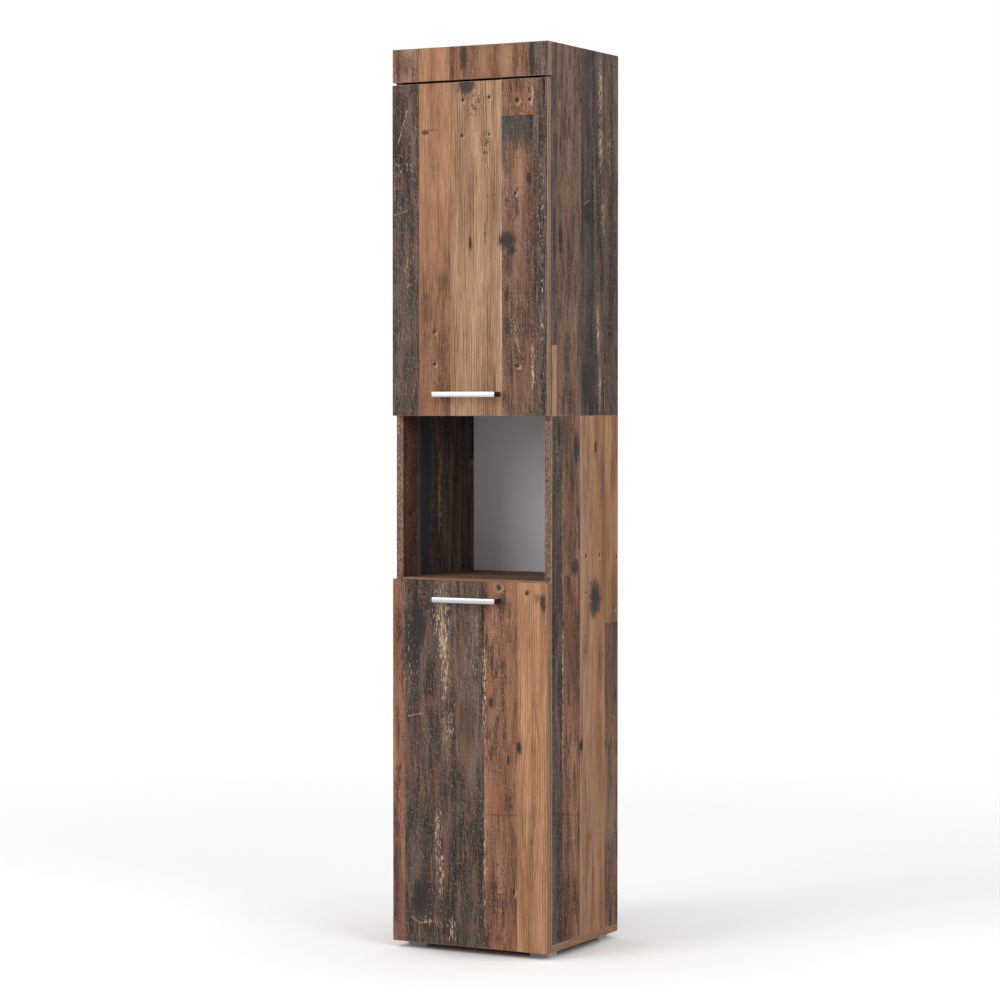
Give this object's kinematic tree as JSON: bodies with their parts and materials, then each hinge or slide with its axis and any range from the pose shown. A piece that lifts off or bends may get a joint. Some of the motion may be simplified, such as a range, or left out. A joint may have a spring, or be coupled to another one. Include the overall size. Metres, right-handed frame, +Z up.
{
  "type": "tall bathroom cabinet",
  "caption": "Tall free-standing bathroom cabinet with an open niche between an upper and a lower compartment, each closed by a left-hung door with a bar handle.",
  "frame": {"origin": "middle of the bounding box on the floor, under the glides", "axes": "+Z up, -Y out of the doors, +Y to the wall, +X to the right of someone who faces the doors"},
  "size_m": [0.37, 0.3606, 1.9],
  "materials": {
    "wood_decor": "particle board with a matt printed decor of mixed reclaimed boards",
    "white_hardboard": "thin hardboard, painted white on the inner face",
    "satin_metal": "satin pale metal",
    "zinc_steel": "bright zinc-plated steel",
    "cast_zinc": "die-cast zinc",
    "grey_plastic": "moulded grey plastic",
    "brown_plastic": "moulded dark brown plastic",
    "beech": "fluted beech dowel",
    "clear_rubber": "soft translucent dot"
  },
  "bodies": {
    "carcass": {"back_nails": "zinc_steel", "base_panel": "wood_decor", "base_screws": "zinc_steel", "cam_bolts": "zinc_steel", "cam_caps": "brown_plastic", "cam_locks": "cast_zinc", "door_bumpers": "clear_rubber", "dowels": "beech", "fascia": "wood_decor", "fascia_angles": "zinc_steel", "fascia_screws": "zinc_steel", "foot_back_left": "grey_plastic", "foot_back_right": "grey_plastic", "foot_front_left": "grey_plastic", "foot_front_right": "grey_plastic", "foot_screws": "zinc_steel", "hinge_arm_pins": "zinc_steel", "hinge_arm_screws": "zinc_steel", "hinge_cup_pins": "zinc_steel", "hinge_inner_links": "zinc_steel", "hinge_outer_links": "zinc_steel", "hinge_plate_screws": "zinc_steel", "hinge_plates": "zinc_steel", "lower_back_panel": "white_hardboard", "lower_door_hinge_high_arm": "zinc_steel", "lower_door_hinge_low_arm": "zinc_steel", "lower_shelf": "wood_decor", "lower_side_left": "wood_decor", "lower_side_right": "wood_decor", "niche_floor": "wood_decor", "shelf_pins": "zinc_steel", "top_panel": "wood_decor", "upper_back_panel": "white_hardboard", "upper_door_hinge_high_arm": "zinc_steel", "upper_door_hinge_low_arm": "zinc_steel", "upper_floor": "wood_decor", "upper_shelf_1": "wood_decor", "upper_shelf_2": "wood_decor", "upper_side_left": "wood_decor", "upper_side_right": "wood_decor", "wall_angle_screws": "zinc_steel", "wall_angles": "zinc_steel"},
    "upper_door_leaf": {"upper_door": "wood_decor", "upper_handle": "satin_metal", "upper_handle_screws": "zinc_steel", "upper_door_cup_screws": "zinc_steel", "upper_door_hinge_high_cup": "zinc_steel", "upper_door_hinge_low_cup": "zinc_steel"},
    "lower_door_leaf": {"lower_door": "wood_decor", "lower_handle": "satin_metal", "lower_handle_screws": "zinc_steel", "lower_door_cup_screws": "zinc_steel", "lower_door_hinge_high_cup": "zinc_steel", "lower_door_hinge_low_cup": "zinc_steel"}
  },
  "joints": [
    {"name": "upper_door_hinge", "type": "hinge", "parent": "carcass", "child": "upper_door_leaf", "pos_m": [-0.1805, -0.14425, 1.4765], "axis": [0, 0, -1], "range_deg": [0, 100]},
    {"name": "lower_door_hinge", "type": "hinge", "parent": "carcass", "child": "lower_door_leaf", "pos_m": [-0.1805, -0.14425, 0.3985], "axis": [0, 0, -1], "range_deg": [0, 100]}
  ]
}
